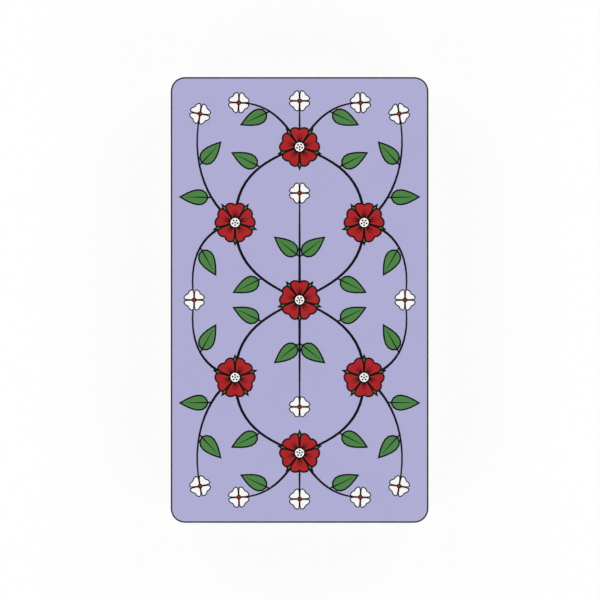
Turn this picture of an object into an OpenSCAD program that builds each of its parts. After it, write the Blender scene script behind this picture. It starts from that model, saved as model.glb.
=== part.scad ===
// Tarot card deck: seventy-eight die-cut cards, squared up face down in one pack.
// Millimetres, +Z up. The origin is the centre of the pack's underside, +Y along the cards.

/* [Card] */
// Width of a card, across its short way
card_w = 70; // [50:0.5:100]
// Length of a card
card_l = 121; // [80:0.5:160]
// Thickness of the varnished card stock
card_t = 0.33; // [0.25:0.01:0.6]
// Radius of the die-cut corners
corner_r = 3.9; // [1:0.1:10]
// Width of the bevel that the cutting die presses along both printed sides
arris = 0.06; // [0.02:0.01:0.1]

/* [Pack] */
// Air between two cards that lie on each other
air_gap = 0.02; // [0.01:0.01:0.1]
// How far a card strays from true in a pack squared up by hand
stray = 0.15; // [0:0.05:0.5]
// Depth under the top card over which the hand squares the pack truer and truer
settled = 4.2; // [0.5:0.1:14]

/* [Hidden] */
back_colour = "#AFADD4";
$fn = 64;

// The twenty-two trumps, in their order from the bottom of a face-down pack
TRUMPS = [
    "fool", "magician", "high_priestess", "empress", "emperor", "hierophant", "lovers",
    "chariot", "strength", "hermit", "wheel_of_fortune", "justice", "hanged_man", "death",
    "temperance", "devil", "tower", "star", "moon", "sun", "judgement", "world"
];
// The four suits lie on the trumps in this order
SUITS = ["wands", "cups", "swords", "pentacles"];
// The packets of a suit from its ace to its king, each with the ranks of its cards
PACKETS = [
    ["ace"], ["2", "3"], ["4", "5"], ["6", "7"], ["8", "9", "10"],
    ["page"], ["knight"], ["queen"], ["king"]
];

// Number of cards in the first n packets of a suit
function cards_in(n) = n == 0 ? 0 : len(PACKETS[n - 1]) + cards_in(n - 1);

// The ranks of a packet from the i-th on, each after an underscore
function ranks_of(packet, i = 0) = i == len(packet) ? "" : str("_", packet[i], ranks_of(packet, i + 1));

suit_size = cards_in(len(PACKETS));
deck_size = len(TRUMPS) + len(SUITS) * suit_size;

// Rise from one card to the next
pitch = card_t + air_gap;

// A trump's number in two figures, so that names sort in the order of the pack
function two_figures(i) = str(i < 10 ? "0" : "", i);

// One row for each node: its name, the place of its lowest card and its number of cards
PACK = concat(
    [for (i = [0:len(TRUMPS) - 1]) [str("trump_", two_figures(i), "_", TRUMPS[i]), i, 1]],
    [
        for (s = [0:len(SUITS) - 1], p = [0:len(PACKETS) - 1])
            [
                str(SUITS[s], ranks_of(PACKETS[p])),
                len(TRUMPS) + s * suit_size + cards_in(p),
                len(PACKETS[p])
            ]
    ]
);

// The lowest card and the top card lie true. Those between stray by the golden angle, which
// spreads them evenly round the pack, and less and less towards the top card.
golden_angle = 137.508;
function stray_share(place) = place == 0 ? 0 : min(1, (deck_size - 1 - place) * pitch / settled);
function stray_of(place) =
    stray * stray_share(place) * [cos(golden_angle * place), sin(golden_angle * place)];

// Section of a card from its middle to a cut edge at this reach, bevelled on both sides
module half_section(reach) {
    polygon([
        [0, 0], [reach - arris, 0], [reach, arris],
        [reach, card_t - arris], [reach - arris, card_t], [0, card_t]
    ]);
}

// A bar of card stock along Y with both of its long edges cut and bevelled
module bevelled_bar(width, length) {
    translate([0, length / 2, 0]) rotate([90, 0, 0]) linear_extrude(length) {
        half_section(width / 2);
        mirror([1, 0]) half_section(width / 2);
    }
}

// One die-cut card, lying on its face with its middle at the origin
module card_blank() {
    bevelled_bar(card_w, card_l - 2 * corner_r);
    rotate([0, 0, 90]) bevelled_bar(card_l, card_w - 2 * corner_r);
    for (x = [-1, 1], y = [-1, 1])
        translate([x * (card_w / 2 - corner_r), y * (card_l / 2 - corner_r), 0])
            rotate_extrude() half_section(corner_r);
}

// A card at its place in the pack, counted up from the bottom
module card(place) {
    translate(concat(stray_of(place), place * pitch)) card_blank();
}

// The cards of one node, each a solid of its own
module packet(first, count) {
    color(back_colour) for (k = [0:count - 1]) card(first + k);
}

for (row = PACK) packet(row[1], row[2]);
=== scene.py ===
import cmath
import math
import random
from collections import namedtuple

import bmesh
import bpy
from bpy.props import FloatProperty, FloatVectorProperty, IntProperty, PointerProperty
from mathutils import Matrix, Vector
from mathutils.geometry import delaunay_2d_cdt


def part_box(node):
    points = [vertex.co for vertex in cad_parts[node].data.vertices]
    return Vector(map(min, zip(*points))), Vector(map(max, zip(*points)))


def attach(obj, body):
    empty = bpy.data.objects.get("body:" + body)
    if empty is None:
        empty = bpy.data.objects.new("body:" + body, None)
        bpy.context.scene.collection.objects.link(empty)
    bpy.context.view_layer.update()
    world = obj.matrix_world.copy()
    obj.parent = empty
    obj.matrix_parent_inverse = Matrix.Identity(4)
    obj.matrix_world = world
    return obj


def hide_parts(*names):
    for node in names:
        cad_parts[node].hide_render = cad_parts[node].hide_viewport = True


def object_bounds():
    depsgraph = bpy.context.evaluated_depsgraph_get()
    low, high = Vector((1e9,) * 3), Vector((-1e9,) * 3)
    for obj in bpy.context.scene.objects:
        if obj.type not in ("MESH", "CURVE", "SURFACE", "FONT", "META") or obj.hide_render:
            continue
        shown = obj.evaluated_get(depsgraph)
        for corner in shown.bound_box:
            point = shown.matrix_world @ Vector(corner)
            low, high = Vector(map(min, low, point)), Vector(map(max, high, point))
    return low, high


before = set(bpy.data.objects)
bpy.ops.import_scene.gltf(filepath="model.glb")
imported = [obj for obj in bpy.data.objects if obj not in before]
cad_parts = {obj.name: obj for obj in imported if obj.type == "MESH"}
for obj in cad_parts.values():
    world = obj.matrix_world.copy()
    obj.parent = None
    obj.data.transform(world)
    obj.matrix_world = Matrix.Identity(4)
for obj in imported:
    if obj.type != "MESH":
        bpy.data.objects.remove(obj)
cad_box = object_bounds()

bl_info = {
    "name": "Tarot card deck",
    "version": (1, 0, 0),
    "blender": (4, 5, 0),
    "location": "3D View > Sidebar > Deck",
    "description": "Prints and die-cuts the cards of a tarot deck and lights them on a white sweep",
    "category": "Add Mesh",
}

MM = 0.001
SUITS = ("wands", "cups", "swords", "pentacles")
COURTS = ("page", "knight", "queen", "king")
LOWEST_NODE, SECOND_NODE = sorted(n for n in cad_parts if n.startswith("trump_"))[:2]

# Sizes of a card, read from the frame. The lowest card lies true, so its box is its outline. Its
# bevel ends at its lowest corners above the floor, and its long edge where its round corner begins.
CLOSE = 0.001 * MM
CARD_LOW, CARD_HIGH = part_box(LOWEST_NODE)
CARD_W, CARD_L, CARD_T = CARD_HIGH - CARD_LOW
CARD_POINTS = [v.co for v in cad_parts[LOWEST_NODE].data.vertices]
CARD_ARRIS = min(v.z for v in CARD_POINTS if v.z > CARD_LOW.z + CLOSE) - CARD_LOW.z
CARD_CORNER = CARD_HIGH.y - max(v.y for v in CARD_POINTS if v.x > CARD_HIGH.x - CLOSE)
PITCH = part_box(SECOND_NODE)[0].z - CARD_LOW.z
PACK_TOP = cad_box[1].z


def linear(hex_colour):
    """The linear RGB of an sRGB colour written as six hex figures."""
    shares = [int(hex_colour[i:i + 2], 16) / 255 for i in (0, 2, 4)]
    return [s / 12.92 if s <= 0.04045 else ((s + 0.055) / 1.055) ** 2.4 for s in shares]


def colour(name, hex_colour, description):
    """A colour that the user can change."""
    return FloatVectorProperty(
        name=name, description=description, subtype="COLOR", size=3, min=0, max=1,
        default=linear(hex_colour),
    )


def length(name, metres, description):
    """A length that the user can change."""
    return FloatProperty(
        name=name, description=description, unit="LENGTH", min=0, precision=5, default=metres,
    )


class DeckCardSettings(bpy.types.PropertyGroup):
    """How the die cuts a card."""

    corner_radius: length("Corner radius", CARD_CORNER, "Radius of the die-cut corners")
    arris: length("Arris", CARD_ARRIS, "Width of the roll that the die presses along both sides")
    corner_steps: IntProperty(
        name="Corner steps", description="Straight steps round a corner", default=8, min=3)
    arris_steps: IntProperty(
        name="Arris steps", description="Steps down the rolled arris", default=2, min=1)


class DeckInkSettings(bpy.types.PropertyGroup):
    """The inks, the board and the drawn lines."""

    lavender: colour("Lavender", "AFADD4", "Ink that floods the backs")
    keyline: colour("Keyline", "26262B", "Charcoal line along the edge of the backs")
    black: colour("Black", "060504", "Ink of the stems and outlines")
    red: colour("Red", "AC1E22", "Ink of the rosettes")
    green: colour("Green", "4B8244", "Ink of the leaves")
    ochre: colour("Ochre", "C8963C", "Ink of the gilt marks on the faces")
    white: colour("White", "FAF8F6", "Bare coated stock in the blossoms")
    face: colour("Face", "F1ECDD", "Ivory tint of the faces")
    edge_pale: colour("Pale edge", "F6F3EC", "Cut edge of the cleanest cards")
    edge_dull: colour("Dull edge", "E3DDD2", "Cut edge of the most handled cards")
    keyline_width: length("Keyline width", 0.46 * MM, "Width of the line along the edge of the backs")
    line: length("Outline", 0.43 * MM, "Width of the drawn outlines")


class DeckBackSettings(bpy.types.PropertyGroup):
    """The ornament of the backs."""

    rosette: length("Rosette radius", 5.4 * MM, "From the middle of a rosette to its petal tips")
    leaf_length: length("Leaf length", 7.6 * MM, "From the stalk of a leaf to its tip")
    leaf_width: length("Leaf width", 4 * MM, "Across the broadest part of a leaf")
    blossom: length("Blossom radius", 2.7 * MM, "From the middle of a blossom to its petal tips")


class DeckFaceSettings(bpy.types.PropertyGroup):
    """The marks on the faces."""

    inset: length("Frame inset", 5 * MM, "From the edge of a card to the frame of its face")
    pip: length("Pip height", 19 * MM, "Height of a pip on the fours and higher number cards")
    medallion: length("Medallion radius", 27 * MM, "Radius of the medallion of the court cards")
    sun: length("Sun radius", 25 * MM, "Radius of the sun of the trumps")
    numeral: length("Numeral height", 7 * MM, "Height of the numerals of the trumps")


class DeckStageSettings(bpy.types.PropertyGroup):
    """The white sweep, the lamps and the camera."""

    sweep: colour("Sweep", "FCFCFC", "Colour of the floor and its upturned rim")
    sweep_radius: length("Sweep radius", 2600 * MM, "From the deck to the upturned rim of the sweep")
    lamp_size: length("Lamp size", 550 * MM, "Side of each square softbox")
    lamp_distance: length("Lamp distance", 950 * MM, "From the deck to each softbox")
    lamp_power: FloatProperty(
        name="Lamp power", description="Power of each softbox", unit="POWER", default=3.38, min=0)
    sky: FloatProperty(
        name="Sky", description="Strength of the even light from all round", default=0.12, min=0)
    focal_length: FloatProperty(
        name="Focal length", description="Focal length of the camera in millimetres",
        subtype="DISTANCE_CAMERA", default=180, min=1)


# Drawing: a shape is a closed loop of complex numbers in millimetres, and a layer is (ink, shape).
# The sides of a drawn circle stray from the true one by at most ROUND_ERROR. A corner whose turn has
# a cosine below SHARPEST_MITRE - 1 gets a shorter mitre when its edges are moved.
ROUND_ERROR = 0.03
SHARPEST_MITRE = 0.2


def turned(shape, angle, at=0):
    """The shape turned about the origin and then moved."""
    return [p * cmath.rect(1, angle) + at for p in shape]


def moved(layers, at):
    """The layers moved to a place."""
    return [(ink, turned(shape, 0, at)) for ink, shape in layers]


def mirrored(shape):
    """The shape flipped left to right."""
    return [-p.conjugate() for p in shape]


def left_and_right(half):
    """A symmetrical shape from its right half, drawn from bottom to top."""
    return half + mirrored(half)[::-1]


def above_and_below(edge):
    """A shape about the X axis from its upper edge, whose two ends lie on that axis."""
    return edge + [p.conjugate() for p in edge[-2:0:-1]]


def ring(at, radius, count=None):
    """A circle of that many points, or of as many as it needs to look round."""
    count = count or math.ceil(math.pi / math.acos(1 - ROUND_ERROR / radius))
    return [at + cmath.rect(radius, math.tau * i / count) for i in range(count)]


def rounded_rectangle(width, height, radius, steps):
    """A rectangle about the origin with round corners."""
    loop = []
    for quarter, (x, y) in enumerate(((1, 1), (-1, 1), (-1, -1), (1, -1))):
        middle = complex(x * (width / 2 - radius), y * (height / 2 - radius))
        for step in range(steps + 1):
            loop.append(middle + cmath.rect(radius, math.pi / 2 * (quarter + step / steps)))
    return loop


def bezier(a, b, c, d, count):
    """Points along a cubic curve."""
    shares = [i / count for i in range(count + 1)]
    return [(1 - t)**3 * a + 3 * (1 - t)**2 * t * b + 3 * (1 - t) * t * t * c + t**3 * d
            for t in shares]


def ribbon(path, start, end):
    """A pen stroke along a path, whose width goes evenly from start to end."""
    last = len(path) - 1
    left, right = [], []
    for i, p in enumerate(path):
        way = path[min(i + 1, last)] - path[max(i - 1, 0)]
        side = 1j * way / abs(way) * (start + (end - start) * i / last) / 2
        left.append(p + side)
        right.append(p - side)
    return right + left[::-1]


def anticlockwise(shape):
    """The shape with its inside on the left."""
    area = sum((a.conjugate() * b).imag for a, b in zip(shape, shape[1:] + shape[:1]))
    return shape if area > 0 else shape[::-1]


def grown(shape, by):
    """The shape with its edge moved outwards, or inwards where by is below 0."""
    shape = anticlockwise(shape)
    out = []
    for before, p, after in zip(shape[-1:] + shape[:-1], shape, shape[1:] + shape[:1]):
        first, second = [-1j * (b - a) / abs(b - a) for a, b in ((before, p), (p, after))]
        meet = 1 + (first.conjugate() * second).real
        out.append(p + by * (first + second) / max(meet, SHARPEST_MITRE))
    return out


def outlined(shape, ink, line):
    """The shape in its ink, with a black line along its edge."""
    return [("black", grown(shape, line / 2)), (ink, grown(shape, -line / 2))]


def star_shape(radius, points, waist):
    """A star with one point upwards. Its waist is a share of its radius."""
    return [cmath.rect(radius * (waist if i % 2 else 1), math.pi / 2 + math.pi * i / points)
            for i in range(2 * points)]


def leaf_shape(size, width, steps=7):
    """An almond with its stalk at the origin and its tip on +X."""
    belly = complex(0.15 * size, 0.95 * width)
    taper = complex(0.72 * size, 0.32 * width)
    return above_and_below(bezier(0, belly, taper, size, steps))


def petal_shape(size, width, steps=5):
    """A heart-shaped petal from the origin along +X."""
    waist = complex(0.28 * size, 0.13 * width)
    hip = complex(0.5 * size, 0.4 * width)
    shoulder = complex(0.74 * size, 0.47 * width)
    brow = complex(0.93 * size, 0.53 * width)
    crown = complex(1.06 * size, 0.2 * width)
    notch = 0.88 * size
    flank = bezier(0, waist, hip, shoulder, steps)
    lobe = bezier(shoulder, brow, crown, notch, steps)
    return above_and_below(flank + lobe[1:])


# The ornament of the backs in millimetres from the middle of the card. Apart from its middle rosette,
# it is the same flipped left to right or turned upside down, so only the quarter with x and y above 0
# is written, and the stems on its upright axis. A stem is a curve with a width at each end. A leaf is
# the share of its stem at which it sprouts and its turn from the stem in degrees. A stem may end in a
# blossom.
Stem = namedtuple("Stem", "curve widths leaves blossom", defaults=[False])
MIDDLE, TOP, SIDE, EDGE_BLOSSOM = 0, 41.5j, 17.5 + 21j, 28.6 + 0j
STEMS = (
    Stem((MIDDLE, 8 + 4j, 17.5 + 8j, SIDE), (0.6, 0.8), [(0.45, -62)]),
    Stem((TOP, 9 + 38j, 17.5 + 34j, SIDE), (0.6, 0.8), [(0.45, 62)]),
    Stem((SIDE, 26 + 19j, 30.5 + 12j, EDGE_BLOSSOM), (0.8, 0.4), [(0.5, -62)]),
    Stem((SIDE, 24 + 25j, 30 + 36j, 27 + 50.5j), (0.8, 0.4), [(0.36, -56), (0.64, 56)], blossom=True),
    Stem((TOP, 4 + 49j, 9 + 53.5j, 16.5 + 53.5j), (0.75, 0.4), [(0.6, -60)], blossom=True),
)
AXIS_STEMS = (
    Stem((MIDDLE, 9j, 18j, 29j), (0.8, 0.4), [(0.45, 52), (0.45, -52)], blossom=True),
    Stem((TOP, 45j, 49j, 54j), (0.65, 0.4), [], blossom=True),
)


class BackPen:
    """Draws the ornament of the backs. Its lengths are in millimetres."""

    STEM_STEPS = 14
    # The end of a tapering line, and the line round a blossom
    HAIRLINE, FINE_LINE = 0.1, 0.3
    PETALS = 5
    # Parts of a rosette, as shares of its radius
    PETAL_WIDTH = 0.98
    SEPAL_LENGTH, SEPAL_WIDTH = 1.1, 0.42
    FOLD_START = 0.2
    HEART, SEED, SEED_RING = 0.27, 0.05, 0.13
    # The dark folds of a petal: the lean of each in radians, and its reach as a share of the radius
    FOLDS = ((-0.2, 0.62), (0, 0.7), (0.2, 0.62))
    # The stalk of a leaf and the reach of its midrib, as shares of its length
    STALK, MIDRIB_REACH = 0.12, 0.8
    # Parts of a blossom, as shares of its radius
    BLOSSOM_PETALS, BLOSSOM_STEPS = 4, 3
    BLOSSOM_PETAL_WIDTH, BLOSSOM_EYE = 1.3, 0.2

    def __init__(self, scene):
        self.line = scene.deck_ink.line / MM
        self.radius = scene.deck_back.rosette / MM
        self.leaf_size = scene.deck_back.leaf_length / MM, scene.deck_back.leaf_width / MM
        self.blossom_radius = scene.deck_back.blossom / MM

    def rosette(self, at, turn):
        """A five-petalled flower with its sepals between the petals, turned by degrees from +X."""
        radius, layers = self.radius, []
        ways = [math.radians(turn) + math.tau * k / self.PETALS for k in range(self.PETALS)]
        between = [way + math.pi / self.PETALS for way in ways]
        sepal = leaf_shape(self.SEPAL_LENGTH * radius, self.SEPAL_WIDTH * radius)
        petal = petal_shape(radius, self.PETAL_WIDTH * radius)
        for way in between:
            layers += outlined(turned(sepal, way, at), "green", self.line)
        for way in ways:
            layers += outlined(turned(petal, way, at), "red", self.line)
        for way in ways:
            for lean, reach in self.FOLDS:
                fold = ribbon([self.FOLD_START * radius, reach * radius], self.line, self.HAIRLINE)
                layers.append(("black", turned(fold, way + lean, at)))
        layers += outlined(ring(at, self.HEART * radius), "white", self.line)
        for seed in [at] + [at + cmath.rect(self.SEED_RING * radius, way) for way in between]:
            layers.append(("black", ring(seed, self.SEED * radius)))
        return layers

    def leaf(self, at, way):
        """A leaf on a short stalk, which goes on as its midrib."""
        size, width = self.leaf_size
        blade = turned(leaf_shape(size, width), 0, self.STALK * size)
        midrib = ribbon([0, (self.STALK + self.MIDRIB_REACH) * size], self.line, self.HAIRLINE)
        layers = outlined(turned(blade, way, at), "green", self.line)
        return layers + [("black", turned(midrib, way, at))]

    def blossom(self, at, way):
        """A white flower with four petals, and its stem between two of them."""
        radius = self.blossom_radius
        petal = petal_shape(radius, self.BLOSSOM_PETAL_WIDTH * radius, self.BLOSSOM_STEPS)
        ways = [way + math.tau * (k + 0.5) / self.BLOSSOM_PETALS for k in range(self.BLOSSOM_PETALS)]
        petals = [outlined(turned(petal, each, at), "white", self.FINE_LINE) for each in ways]
        # The lines all lie under the petals, so none of them crosses a petal.
        layers = [black for black, white in petals] + [white for black, white in petals]
        return layers + outlined(ring(at, self.BLOSSOM_EYE * radius), "red", self.FINE_LINE)

    def stem(self, curve, widths, leaves, blossom):
        """A tapering stem with its leaves and blossom."""
        path = bezier(*curve, self.STEM_STEPS)
        layers = [("black", ribbon(path, *widths))]
        for share, turn in leaves:
            i = round(share * self.STEM_STEPS)
            layers += self.leaf(path[i], cmath.phase(path[i] - path[i - 1]) + math.radians(turn))
        if blossom:
            layers += self.blossom(path[-1], cmath.phase(path[-1] - path[-2]))
        return layers

    def back(self):
        """The layers of the whole back, the lowest first."""
        quarter = [layer for stem in STEMS for layer in self.stem(*stem)]
        half = quarter + [(ink, mirrored(shape)) for ink, shape in quarter]
        half += [layer for stem in AXIS_STEMS for layer in self.stem(*stem)]
        layers = half + [(ink, turned(shape, math.pi)) for ink, shape in half]
        for at in (EDGE_BLOSSOM, -EDGE_BLOSSOM):
            layers += self.blossom(at, math.pi / 2)
        layers += self.rosette(MIDDLE, 90)
        for up, turn in ((1, 90), (-1, -90)):
            for at in (TOP, SIDE, -SIDE.conjugate()):
                layers += self.rosette(up * at, turn)
        return layers


# The symbols of the suits, upright about the origin. Their points are shares of their height.


def wand(size, line):
    """A sprouting staff."""
    rod = ribbon([-0.5j * size, 0.44j * size], 0.11 * size, 0.09 * size)
    leaf = turned(leaf_shape(0.34 * size, 0.17 * size), math.radians(48), 0.08j * size)
    knob = ring(0.46j * size, 0.09 * size)
    return [
        *outlined(leaf, "green", line), *outlined(mirrored(leaf), "green", line),
        *outlined(rod, "ochre", line), *outlined(knob, "red", line),
    ]


def cup(size, line):
    """A footed cup."""
    foot = bezier(0.26 - 0.48j, 0.26 - 0.36j, 0.05 - 0.42j, 0.05 - 0.24j, 6)
    bowl = bezier(0.05 - 0.12j, 0.3 - 0.1j, 0.36 + 0.12j, 0.33 + 0.44j, 8)
    body = left_and_right([size * p for p in foot + bowl])
    lip = ribbon([(-0.33 + 0.4j) * size, (0.33 + 0.4j) * size], 0.1 * size, 0.1 * size)
    knop = ring(-0.18j * size, 0.1 * size)
    return [
        *outlined(body, "red", line), *outlined(lip, "ochre", line), *outlined(knop, "ochre", line),
    ]


def sword(size, line):
    """An upright sword."""
    blade = left_and_right([size * p for p in (0.055 - 0.2j, 0.05 + 0.4j, 0.004 + 0.54j)])
    guard = ribbon([(-0.19 - 0.22j) * size, (0.19 - 0.22j) * size], 0.07 * size, 0.07 * size)
    grip = ribbon([-0.24j * size, -0.42j * size], 0.07 * size, 0.07 * size)
    pommel = ring(-0.46j * size, 0.06 * size)
    return [
        *outlined(blade, "lavender", line), *outlined(grip, "green", line),
        *outlined(guard, "ochre", line), *outlined(pommel, "red", line),
    ]


def pentacle(size, line):
    """A coin with a five-pointed star."""
    return [
        *outlined(ring(0, 0.44 * size), "ochre", line), *outlined(ring(0, 0.37 * size), "face", line),
        *outlined(star_shape(0.34 * size, 5, 0.382), "red", line),
    ]


SYMBOLS = dict(zip(SUITS, (wand, cup, sword, pentacle)))

# The letters of numerals: the width of each, and the sideways places of the upper and lower ends of
# its strokes from its middle, all as shares of its height
NUMERAL_UNITS = ("", "I", "II", "III", "IV", "V", "VI", "VII", "VIII", "IX")
NUMERAL_STROKES = {
    "I": (0.3, [(0, 0)]),
    "V": (0.75, [(0.3, 0), (-0.3, 0)]),
    "X": (0.75, [(0.3, -0.3), (-0.3, 0.3)]),
}
NUMERAL_PEN = 0.13


def roman_numeral(number, height):
    """A number below 40 in pen strokes about the origin. Nought is a ring."""
    pen = NUMERAL_PEN * height
    if number == 0:
        return [("black", ring(0, height / 2)), ("white", ring(0, height / 2 - pen))]
    letters = "X" * (number // 10) + NUMERAL_UNITS[number % 10]
    x = -height * sum(NUMERAL_STROKES[c][0] for c in letters) / 2
    layers = []
    for c in letters:
        width, strokes = NUMERAL_STROKES[c]
        x += height * width / 2
        for upper, lower in strokes:
            ends = [complex(x + height * lower, -height / 2), complex(x + height * upper, height / 2)]
            layers.append(("black", ribbon(ends, pen, pen)))
        x += height * width / 2
    return layers


class FacePen:
    """Draws the faces of the cards. Its lengths are in millimetres."""

    FRAME_RADIUS, FRAME_STEPS = 2.5, 4
    HAIRLINE, HAIRLINE_INSET = 0.2, 1.2
    # Place of the top pip of the right column, as shares of the frame's half width and half height
    COLUMN_X, COLUMN_Y = 0.57, 0.72
    # Pips in each outer column, and places in the middle one as shares of the way to the top pip
    PIPS = {
        1: (0, (0,)), 2: (0, (-0.6, 0.6)), 3: (0, (-0.8, 0, 0.8)), 4: (2, ()), 5: (2, (0,)),
        6: (3, ()), 7: (3, (0.5,)), 8: (3, (-0.5, 0.5)), 9: (4, (0,)), 10: (4, (-0.67, 0.67)),
    }
    # The pips of the lowest cards are larger
    PIP_GROWTH = {1: 2.5, 2: 1.8, 3: 1.5}
    # A court card: heights of its medallion and its stars of rank, and sizes of both
    MEDALLION_Y, MEDALLION_RIM, MEDALLION_FILL = 8, 2, 1.5
    RANK_Y, RANK_STEP, RANK_RADIUS, RANK_POINTS, RANK_WAIST = -38, 11, 4.2, 8, 0.45
    # A trump: heights of its sun and its plate, and the fewest points of the sun
    SUN_Y, PLATE_Y, FEWEST_POINTS = -6, 43, 4
    # Rings of the sun from the lowest: ink, share of its radius, and the waist of those with points
    SUN_RINGS = (
        ("white", 1, 0), ("ochre", 0.92, 0.52), ("red", 0.6, 0.6),
        ("white", 0.24, 0), ("green", 0.12, 0),
    )
    PLATE_SIZE = 34, 12
    # The small stars in the corners of a trump
    CORNER_STAR, CORNER_RADIUS, CORNER_POINTS, CORNER_WAIST = 24 + 47.5j, 3, 4, 0.4

    def __init__(self, scene):
        self.line = scene.deck_ink.line / MM
        face = scene.deck_face
        self.frame_size = [(side - 2 * face.inset) / MM for side in (CARD_W, CARD_L)]
        self.pip, self.medallion = face.pip / MM, face.medallion / MM
        self.sun, self.numeral = face.sun / MM, face.numeral / MM

    def panel(self, ink):
        """A panel set in from the edge of the card, with a line round it and a hairline within."""
        layers = []
        for inset, line in ((0, self.line), (self.HAIRLINE_INSET, self.HAIRLINE)):
            width, height = [side - 2 * inset for side in self.frame_size]
            border = rounded_rectangle(width, height, self.FRAME_RADIUS - inset, self.FRAME_STEPS)
            layers += outlined(border, ink, line)
        return layers

    def number(self, suit, count):
        """The face of an ace or number card: its pips in columns."""
        rows, inner = self.PIPS[count]
        x, y = self.COLUMN_X * self.frame_size[0] / 2, self.COLUMN_Y * self.frame_size[1] / 2
        places = [complex(0, share * y) for share in inner]
        for row in range(rows):
            level = y * (2 * row / (rows - 1) - 1)
            places += [complex(-x, level), complex(x, level)]
        pip = SYMBOLS[suit](self.pip * self.PIP_GROWTH.get(count, 1), self.line)
        layers = self.panel("face")
        for at in places:
            layers += moved(pip, at)
        return layers

    def court(self, suit, rank):
        """The face of a court card: its suit in a medallion, over one more star for each rank."""
        middle = 1j * self.MEDALLION_Y
        layers = self.panel("face")
        layers += outlined(ring(middle, self.medallion), "lavender", self.line)
        layers += outlined(ring(middle, self.medallion - self.MEDALLION_RIM), "white", self.line)
        layers += moved(SYMBOLS[suit](self.MEDALLION_FILL * self.medallion, self.line), middle)
        star = star_shape(self.RANK_RADIUS, self.RANK_POINTS, self.RANK_WAIST)
        others = COURTS.index(rank)
        for k in range(others + 1):
            at = complex(self.RANK_STEP * (k - others / 2), self.RANK_Y)
            layers += moved(outlined(star, "ochre", self.line), at)
        return layers

    def trump(self, number):
        """The face of a trump: a sun with more points the higher it is, under its numeral."""
        layers, sun = self.panel("lavender"), []
        for ink, share, waist in self.SUN_RINGS:
            radius = share * self.sun
            points = star_shape(radius, number + self.FEWEST_POINTS, waist)
            sun += outlined(points if waist else ring(0, radius), ink, self.line)
        layers += moved(sun, 1j * self.SUN_Y)
        star = star_shape(self.CORNER_RADIUS, self.CORNER_POINTS, self.CORNER_WAIST)
        corner = self.CORNER_STAR
        for at in (corner, -corner, corner.conjugate(), -corner.conjugate()):
            layers += moved(outlined(star, "ochre", self.line), at)
        plate = rounded_rectangle(*self.PLATE_SIZE, self.FRAME_RADIUS, self.FRAME_STEPS)
        title = outlined(plate, "white", self.line) + roman_numeral(number, self.numeral)
        return layers + moved(title, 1j * self.PLATE_Y)


def add_node(tree, kind, inputs, **settings):
    """Adds a node with its settings. An input given as a socket is linked, any other is a value."""
    node = tree.nodes.new(kind)
    for name, value in settings.items():
        setattr(node, name, value)
    for name, value in inputs.items():
        if isinstance(value, bpy.types.NodeSocket):
            tree.links.new(value, node.inputs[name])
        else:
            node.inputs[name].default_value = value
    return node


def new_material(name):
    """An empty node material and its tree."""
    material = bpy.data.materials.new(name)
    material.use_nodes = True
    material.node_tree.nodes.clear()
    return material, material.node_tree


# Nearly all values of a noise lie between these two.
NOISE_LOW, NOISE_HIGH = 0.3, 0.7

# Offset ink under a satin water varnish on coated card. The ink lies flat and even, so the eye gets
# the fine pebble of the calendered coating in the highlights, and the varnish a little unevenly dull.
# The pebble is drawn deeper than the real one so that it shows.
VARNISH_IOR = 1.45
VARNISH_SPECULAR = 0.3
COATING_PEBBLE = 0.45 * MM
COATING_HEIGHT = 0.008 * MM
VARNISH_PATCH = 11 * MM
VARNISH_ROUGHNESS = 0.31, 0.46


def varnished_ink(name, ink_colour):
    """A material for one printed colour, or for bare stock under the varnish."""
    material, tree = new_material(name)
    place = add_node(tree, "ShaderNodeTexCoord", {}).outputs["Object"]
    pebble = add_node(tree, "ShaderNodeTexNoise",
                      {"Vector": place, "Scale": 1 / COATING_PEBBLE, "Detail": 3.0})
    bump = add_node(tree, "ShaderNodeBump",
                    {"Height": pebble.outputs["Fac"], "Distance": COATING_HEIGHT, "Strength": 1.0})
    patches = add_node(tree, "ShaderNodeTexNoise",
                       {"Vector": place, "Scale": 1 / VARNISH_PATCH, "Detail": 4.0})
    dullness = add_node(tree, "ShaderNodeMapRange",
                        {"Value": patches.outputs["Fac"],
                         "From Min": NOISE_LOW, "From Max": NOISE_HIGH,
                         "To Min": VARNISH_ROUGHNESS[0], "To Max": VARNISH_ROUGHNESS[1]})
    shader = add_node(tree, "ShaderNodeBsdfPrincipled",
                      {"Base Color": (*ink_colour, 1), "IOR": VARNISH_IOR,
                       "Specular IOR Level": VARNISH_SPECULAR,
                       "Roughness": dullness.outputs["Result"], "Normal": bump.outputs["Normal"]})
    add_node(tree, "ShaderNodeOutputMaterial", {"Surface": shader.outputs["BSDF"]})
    return material


# Cut board: the bare core that the die leaves along the edge of a card. It is matt and fibrous, with
# the fibres lying along the card. They are drawn coarser than real ones so that they show.
BOARD_IOR = 1.5
BOARD_SPECULAR = 0.2
FIBRE_LENGTH = 1.2 * MM
FIBRE_WIDTH = 0.09 * MM
FIBRE_HEIGHT = 0.02 * MM
CUT_EDGE_ROUGHNESS = 0.8, 0.95


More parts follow.
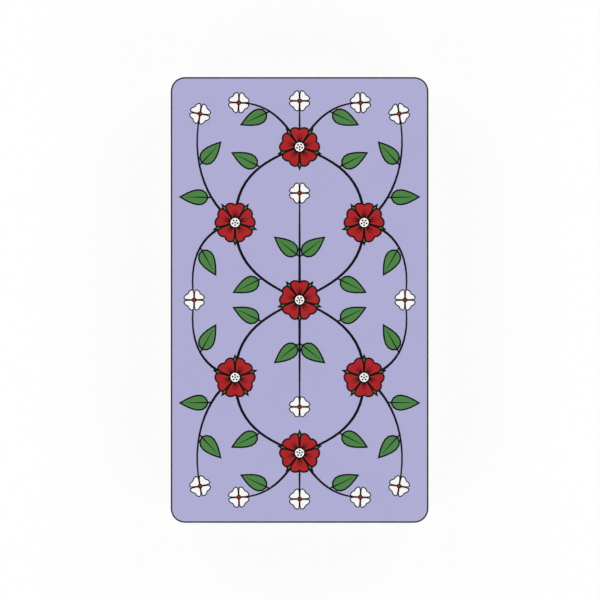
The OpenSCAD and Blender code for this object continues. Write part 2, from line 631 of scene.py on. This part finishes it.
def cut_board(name, edge_colour):
    """A material for the cut edges of some of the cards."""
    material, tree = new_material(name)
    place = add_node(tree, "ShaderNodeTexCoord", {}).outputs["Object"]
    along = add_node(tree, "ShaderNodeMapping",
                     {"Vector": place, "Scale": (1 / FIBRE_LENGTH, 1 / FIBRE_LENGTH, 1 / FIBRE_WIDTH)})
    fibres = add_node(tree, "ShaderNodeTexNoise",
                      {"Vector": along.outputs["Vector"], "Scale": 1.0, "Detail": 5.0})
    bump = add_node(tree, "ShaderNodeBump",
                    {"Height": fibres.outputs["Fac"], "Distance": FIBRE_HEIGHT, "Strength": 1.0})
    dullness = add_node(tree, "ShaderNodeMapRange",
                        {"Value": fibres.outputs["Fac"],
                         "From Min": NOISE_LOW, "From Max": NOISE_HIGH,
                         "To Min": CUT_EDGE_ROUGHNESS[0], "To Max": CUT_EDGE_ROUGHNESS[1]})
    shader = add_node(tree, "ShaderNodeBsdfPrincipled",
                      {"Base Color": (*edge_colour, 1), "IOR": BOARD_IOR,
                       "Specular IOR Level": BOARD_SPECULAR,
                       "Roughness": dullness.outputs["Result"], "Normal": bump.outputs["Normal"]})
    add_node(tree, "ShaderNodeOutputMaterial", {"Surface": shader.outputs["BSDF"]})
    return material


# The inks are named as their settings are. The cut edge has the material slot after them.
INKS = ("lavender", "keyline", "black", "red", "green", "ochre", "white", "face")
KEYLINE, EDGE = INKS.index("keyline"), len(INKS)
# The cut edges have this many tones, which a seed deals out to the cards.
EDGE_TONES = 5
EDGE_SEED = 7


def card_materials(settings, tone):
    """The materials of a card in the order of INKS, and then its cut edge. Cards share them."""
    found = []
    for ink in INKS:
        name = f"varnished_{ink}_print"
        found.append(bpy.data.materials.get(name) or varnished_ink(name, getattr(settings, ink)))
    name = f"cut_board_{tone}"
    share = tone / (EDGE_TONES - 1)
    mixed = [a + (b - a) * share for a, b in zip(settings.edge_pale, settings.edge_dull)]
    found.append(bpy.data.materials.get(name) or cut_board(name, mixed))
    return found


# A printed side is cut into the triangles inside its outline, along every printed edge. Points nearer
# to each other than CUT_TOLERANCE, in millimetres, become one. Bends below STRAIGHT are taken out.
INSIDE_TRIANGLES = 1
CUT_TOLERANCE = 0.001
STRAIGHT = math.radians(0.2)


def cut_along_print(outline, ground, layers):
    """Cuts a flat sheet along the print that shows on it. Gives its points, its triangles, the ink
    of each triangle and the number of each outline point among the points."""
    inks, loops, points = [], [], []
    for ink, shape in [(ground, outline), *layers]:
        loops.append(list(range(len(points), len(points) + len(shape))))
        points += anticlockwise(shape)
        inks.append(ink)
    flat = [Vector((p.real, p.imag)) for p in points]
    found, _, triangles, sources, _, covers = delaunay_2d_cdt(
        flat, [], loops, INSIDE_TRIANGLES, CUT_TOLERANCE)
    sheet = bmesh.new()
    rim_number = sheet.verts.layers.int.new("rim_number")
    corners = [sheet.verts.new((*v, 0)) for v in found]
    # The outline went in first, so its points have the lowest numbers.
    for corner, several in zip(corners, sources):
        corner[rim_number] = min(several, default=len(outline))
    # The last of the layers over a triangle is the one that shows.
    for triangle, over in zip(triangles, covers):
        face = sheet.faces.new([corners[i] for i in triangle])
        face.material_index = INKS.index(inks[max(over)])
    sheet.normal_update()
    bmesh.ops.dissolve_limit(
        sheet, angle_limit=STRAIGHT, verts=sheet.verts, edges=sheet.edges, delimit={"MATERIAL"})
    bmesh.ops.triangulate(sheet, faces=sheet.faces)
    # Triangles without an area are taken out last. Earlier, that would fold the sheet.
    bmesh.ops.dissolve_degenerate(sheet, dist=CUT_TOLERANCE, edges=sheet.edges)
    bmesh.ops.triangulate(sheet, faces=sheet.faces)
    sheet.verts.index_update()
    rim = sorted(sheet.verts, key=lambda v: v[rim_number])[:len(outline)]
    cut = (
        [complex(v.co.x, v.co.y) for v in sheet.verts],
        [tuple(v.index for v in face.verts) for face in sheet.faces],
        [face.material_index for face in sheet.faces],
        [v.index for v in rim],
    )
    sheet.free()
    return cut


class CardMesh:
    """The surface of a card as it grows, in millimetres. A spot is the place of a face's corner when
    the surface is laid out flat."""

    BAKE_MAP = "OFBake"

    def __init__(self):
        self.vertices, self.faces, self.spots, self.slots, self.smooth = [], [], [], [], []

    def add_points(self, points, height):
        """Adds points at one height, and gives their numbers."""
        first = len(self.vertices)
        self.vertices += [Vector((p.real, p.imag, height)) for p in points]
        return range(first, len(self.vertices))

    def add_face(self, corners, spots, slot, smooth=False):
        """Adds a face with the spots of its corners and its material slot."""
        self.faces.append(corners)
        self.spots += spots
        self.slots.append(slot)
        self.smooth.append(smooth)

    def card(self, name, at, materials, map_side):
        """The card, lying at a place in metres. Its map shows that many millimetres each way."""
        mesh = bpy.data.meshes.new(name)
        mesh.from_pydata([v * MM + at for v in self.vertices], [], self.faces)
        mesh.polygons.foreach_set("material_index", self.slots)
        mesh.polygons.foreach_set("use_smooth", self.smooth)
        on_map = [share for p in self.spots for share in (p.real / map_side, p.imag / map_side)]
        mesh.uv_layers.new(name=self.BAKE_MAP).uv.foreach_set("vector", on_map)
        for material in materials:
            mesh.materials.append(material)
        return bpy.data.objects.new(name, mesh)


class CardDie:
    """Cuts printed cards. It holds what all cards share: their outline and their back."""

    MAP_MARGIN = 1

    def __init__(self, scene):
        self.settings, self.ink = scene.deck_card, scene.deck_ink
        self.thickness = CARD_T / MM
        self.arris = self.settings.arris / MM
        self.keyline = self.ink.keyline_width / MM
        self.back = cut_along_print(self.outline(self.keyline), "lavender", BackPen(scene).back())
        # The back is laid out flat about one spot, and the face about another beside it.
        half_w, half_l = [side / MM / 2 + self.MAP_MARGIN for side in (CARD_W, CARD_L)]
        self.back_spot, self.face_spot = complex(half_w, half_l), complex(3 * half_w, half_l)
        self.map_side = max(4 * half_w, 2 * half_l)

    def outline(self, inset):
        """The card's outline moved in from its edge, or out where inset is below 0."""
        return rounded_rectangle(
            CARD_W / MM - 2 * inset, CARD_L / MM - 2 * inset,
            self.settings.corner_radius / MM - inset, self.settings.corner_steps)

    def rim(self):
        """Insets and heights of the loops from the rim of the back down to the face, each with the
        material slot of the strip that leads to it."""
        steps, arris, top = self.settings.arris_steps, self.arris, self.thickness
        rolls = [(arris * (1 - math.sin(a)), arris * (1 - math.cos(a)))
                 for a in (math.pi / 2 * i / steps for i in range(steps + 1))]
        upper = [(inset, top - drop, EDGE if drop else KEYLINE) for inset, drop in rolls]
        lower = [(inset, drop, EDGE) for inset, drop in rolls[::-1]]
        return upper + lower

    def cut(self, name, face_layers, at, tone):
        """A new card with that print on its face, lying at a place in metres."""
        growing = CardMesh()
        loop = self.add_back(growing)
        loop = self.add_rim(growing, loop)
        self.close(growing, loop, face_layers)
        return growing.card(name, at, card_materials(self.ink, tone), self.map_side)

    def add_back(self, growing):
        """Adds the printed back, and gives the numbers of its outermost points."""
        points, triangles, inks, rim = self.back
        numbers = growing.add_points(points, self.thickness)
        for triangle, ink in zip(triangles, inks):
            spots = [self.back_spot + points[i] for i in triangle]
            growing.add_face([numbers[i] for i in triangle], spots, ink)
        return [numbers[i] for i in rim]

    def add_rim(self, growing, above):
        """Adds the strips of the rim from a loop of points down, and gives the lowest loop. Laid out
        flat, they go on outwards from the back."""
        inset_above, height_above, unrolled = self.keyline, self.thickness, 0
        spots_above = self.outline(self.keyline)
        for inset, height, slot in self.rim():
            unrolled += math.hypot(inset_above - inset, height_above - height)
            loop = growing.add_points(self.outline(inset), height)
            spots = self.outline(self.keyline - unrolled)
            for i in range(len(loop)):
                corners = above[i - 1], loop[i - 1], loop[i], above[i]
                places = spots_above[i - 1], spots[i - 1], spots[i], spots_above[i]
                smooth = height < self.thickness
                growing.add_face(corners, [self.back_spot + p for p in places], slot, smooth)
            above, spots_above, inset_above, height_above = loop, spots, inset, height
        return above

    def close(self, growing, loop, layers):
        """Closes the lowest loop with the printed face, which is drawn as it is seen from below."""
        outline = self.outline(self.arris)
        seen_from_above = [(ink, mirrored(shape)) for ink, shape in layers]
        points, triangles, inks, rim = cut_along_print(outline, "face", seen_from_above)
        number = dict(zip(rim, loop))
        inner = [i for i in range(len(points)) if i not in number]
        number.update(zip(inner, growing.add_points([points[i] for i in inner], 0)))
        for triangle, ink in zip(triangles, inks):
            downwards = triangle[::-1]
            spots = [self.face_spot + p for p in mirrored([points[i] for i in downwards])]
            growing.add_face([number[i] for i in downwards], spots, ink)


def nodes_named(test):
    """The nodes whose name, split at underscores, passes the test, from the top of the pack down."""
    found = [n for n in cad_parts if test(n.split("_"))]
    if not found:
        raise RuntimeError("The frame holds none of these cards")
    return sorted(found, key=lambda n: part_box(n)[0].z, reverse=True)


def cards_in(node):
    """The middle of the underside of each card in a node, the lowest card first."""
    corners = [v.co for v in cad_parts[node].data.vertices]
    low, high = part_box(node)
    places = []
    for k in range(round((high.z - low.z + PITCH - CARD_T) / PITCH)):
        floor = low.z + k * PITCH
        own = [v for v in corners if abs(v.z - floor - CARD_T / 2) < PITCH / 2]
        middle = [(min(v[i] for v in own) + max(v[i] for v in own)) / 2 for i in (0, 1)]
        places.append(Vector((*middle, floor)))
    return places


def make_cards(context, nodes, draw):
    """Replaces each of these nodes by printed cards. draw gives the name of a card and its face."""
    die, pen = CardDie(context.scene), FacePen(context.scene)
    for node in nodes:
        for k, at in enumerate(cards_in(node)):
            name, face = draw(pen, node, k)
            tone = random.Random(EDGE_SEED + round(at.z / PITCH)).randrange(EDGE_TONES)
            card = die.cut(name, face, at, tone)
            context.scene.collection.objects.link(card)
            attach(card, node)
            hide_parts(node)


class DECK_OT_make_court_cards(bpy.types.Operator):
    """Make the pages, knights, queens and kings"""

    bl_idname = "deck.make_court_cards"
    bl_label = "Make court cards"

    def execute(self, context):
        def court_card(pen, node, k):
            return f"card_{node}", pen.court(*node.split("_"))

        make_cards(context, nodes_named(lambda words: words[1] in COURTS), court_card)
        return {"FINISHED"}


class DECK_OT_make_number_cards(bpy.types.Operator):
    """Make the aces and number cards of the four suits"""

    bl_idname = "deck.make_number_cards"
    bl_label = "Make number cards"

    def execute(self, context):
        def number_card(pen, node, k):
            suit, *ranks = node.split("_")
            count = 1 if ranks[k] == "ace" else int(ranks[k])
            return f"card_{suit}_{ranks[k]}", pen.number(suit, count)

        ranked = nodes_named(lambda words: words[0] in SUITS and words[1] not in COURTS)
        make_cards(context, ranked, number_card)
        return {"FINISHED"}


class DECK_OT_make_trumps(bpy.types.Operator):
    """Make the trumps, each with its numeral and sun"""

    bl_idname = "deck.make_trumps"
    bl_label = "Make trumps"

    def execute(self, context):
        def trump(pen, node, k):
            return f"card_{node}", pen.trump(int(node.split("_")[1]))

        make_cards(context, nodes_named(lambda words: words[0] == "trump"), trump)
        return {"FINISHED"}


# The photograph: a square frame, with the top card as long as this in it and its middle here
PHOTO_SIDE_PX = 600
CARD_LENGTH_PX = 446.1
CARD_MIDDLE_PX = 299.6, 299.95
SENSOR_WIDTH = 36

LAMP_AZIMUTHS = 45, 135, 225, 315
LAMP_ELEVATION = 40

# The sweep lies just under the deck, so that their faces don't share a plane
FLOOR_DROP = 0.02 * MM
SWEEP_BEND, BEND_STEPS = 500 * MM, 10
SWEEP_SIDES = 96
# How much of the sweep's look is plain white. The rest is paper that shows the deck's shadow.
PLAIN_WHITE = 0.88


class DECK_OT_make_stage(bpy.types.Operator):
    """Make the white sweep, the four softboxes, the sky and the camera"""

    bl_idname = "deck.make_stage"
    bl_label = "Make stage"

    def execute(self, context):
        settings = context.scene.deck_stage
        self.make_camera(context, settings)
        self.make_lamps(context, settings)
        self.make_sky(context, settings)
        self.make_sweep(context, settings)
        context.scene.view_settings.view_transform = "Standard"
        return {"FINISHED"}

    def make_camera(self, context, settings):
        """A camera straight above the top card, framed as the photograph is."""
        view = bpy.data.cameras.new("camera")
        view.lens, view.sensor_width = settings.focal_length, SENSOR_WIDTH
        camera = bpy.data.objects.new("camera", view)
        pixel = CARD_L / CARD_LENGTH_PX
        distance = pixel * PHOTO_SIDE_PX * settings.focal_length / SENSOR_WIDTH
        across, down = [(PHOTO_SIDE_PX / 2 - p) * pixel for p in CARD_MIDDLE_PX]
        camera.location = across, -down, PACK_TOP + distance
        context.scene.collection.objects.link(camera)
        context.scene.camera = camera

    def make_lamps(self, context, settings):
        """Softboxes on all sides, low enough to keep their shine out of the camera."""
        for number, azimuth in enumerate(LAMP_AZIMUTHS):
            light = bpy.data.lights.new(f"softbox_{number}", "AREA")
            light.shape, light.size = "SQUARE", settings.lamp_size
            light.energy = settings.lamp_power
            lamp = bpy.data.objects.new(light.name, light)
            level = settings.lamp_distance * math.cos(math.radians(LAMP_ELEVATION))
            way = cmath.rect(level, math.radians(azimuth))
            height = settings.lamp_distance * math.sin(math.radians(LAMP_ELEVATION))
            lamp.location = way.real, way.imag, PACK_TOP + height
            aim = Vector((0, 0, PACK_TOP)) - lamp.location
            lamp.rotation_euler = aim.to_track_quat("-Z", "Y").to_euler()
            context.scene.collection.objects.link(lamp)

    def make_sky(self, context, settings):
        """Even white light from all round."""
        world = bpy.data.worlds.new("sky")
        world.use_nodes = True
        background = world.node_tree.nodes["Background"]
        background.inputs["Color"].default_value = (1, 1, 1, 1)
        background.inputs["Strength"].default_value = settings.sky
        context.scene.world = world

    def make_sweep(self, context, settings):
        """A round white floor whose rim curls up, far from the deck."""
        quarter_turns = [math.pi / 2 * i / BEND_STEPS for i in range(BEND_STEPS + 1)]
        start = settings.sweep_radius - SWEEP_BEND
        vertices = [(0, 0, -FLOOR_DROP)]
        for angle in quarter_turns:
            height = SWEEP_BEND * (1 - math.cos(angle)) - FLOOR_DROP
            loop = ring(0, start + SWEEP_BEND * math.sin(angle), SWEEP_SIDES)
            vertices += [(p.real, p.imag, height) for p in loop]
        faces = []
        for i in range(SWEEP_SIDES):
            j = (i + 1) % SWEEP_SIDES
            faces.append((0, 1 + i, 1 + j))
            for row in range(BEND_STEPS):
                inner = 1 + row * SWEEP_SIDES
                outer = inner + SWEEP_SIDES
                faces.append((inner + i, outer + i, outer + j, inner + j))
        mesh = bpy.data.meshes.new("sweep")
        mesh.from_pydata(vertices, [], faces)
        mesh.polygons.foreach_set("use_smooth", [True] * len(faces))
        mesh.materials.append(self.sweep_paper(settings))
        sweep = bpy.data.objects.new("sweep", mesh)
        context.scene.collection.objects.link(sweep)

    def sweep_paper(self, settings):
        """Seamless background paper: matt white, which the camera sees with a faint shadow."""
        material, tree = new_material("seamless_white_paper")
        path = add_node(tree, "ShaderNodeLightPath", {})
        seen = add_node(tree, "ShaderNodeMath", {0: path.outputs["Is Camera Ray"],
                                                 1: path.outputs["Is Glossy Ray"]}, operation="ADD")
        shown = add_node(tree, "ShaderNodeMath", {0: seen.outputs[0],
                                                  1: path.outputs["Is Transmission Ray"]},
                         operation="ADD", use_clamp=True)
        share = add_node(tree, "ShaderNodeMath", {0: shown.outputs[0], 1: PLAIN_WHITE},
                         operation="MULTIPLY")
        paper = add_node(tree, "ShaderNodeBsdfDiffuse", {"Color": (*settings.sweep, 1)})
        white = add_node(tree, "ShaderNodeEmission", {"Color": (1, 1, 1, 1), "Strength": 1.0})
        mix = add_node(tree, "ShaderNodeMixShader", {0: share.outputs[0], 1: paper.outputs[0],
                                                     2: white.outputs[0]})
        add_node(tree, "ShaderNodeOutputMaterial", {"Surface": mix.outputs[0]})
        return material


class DECK_PT_sidebar(bpy.types.Panel):
    """Lists the settings and the steps of the deck"""

    bl_idname = "DECK_PT_sidebar"
    bl_label = "Tarot card deck"
    bl_space_type = "VIEW_3D"
    bl_region_type = "UI"
    bl_category = "Deck"

    def draw(self, context):
        for group in GROUPS:
            box = self.layout.box()
            settings = getattr(context.scene, group)
            for name in settings.__annotations__:
                box.prop(settings, name)
        for operator in OPERATORS:
            self.layout.operator(operator.bl_idname)


GROUPS = {
    "deck_card": DeckCardSettings, "deck_ink": DeckInkSettings, "deck_back": DeckBackSettings,
    "deck_face": DeckFaceSettings, "deck_stage": DeckStageSettings,
}
OPERATORS = (
    DECK_OT_make_stage, DECK_OT_make_court_cards, DECK_OT_make_number_cards, DECK_OT_make_trumps,
)
CLASSES = (*GROUPS.values(), *OPERATORS, DECK_PT_sidebar)


def register():
    for kind in CLASSES:
        bpy.utils.register_class(kind)
    for name, group in GROUPS.items():
        setattr(bpy.types.Scene, name, PointerProperty(type=group))


def unregister():
    for name in GROUPS:
        delattr(bpy.types.Scene, name)
    for kind in reversed(CLASSES):
        bpy.utils.unregister_class(kind)


def main():
    register()
    bpy.ops.deck.make_stage()
    bpy.ops.deck.make_court_cards()
    bpy.ops.deck.make_number_cards()
    bpy.ops.deck.make_trumps()
    bpy.context.view_layer.update()


if __name__ == "__main__":
    main()
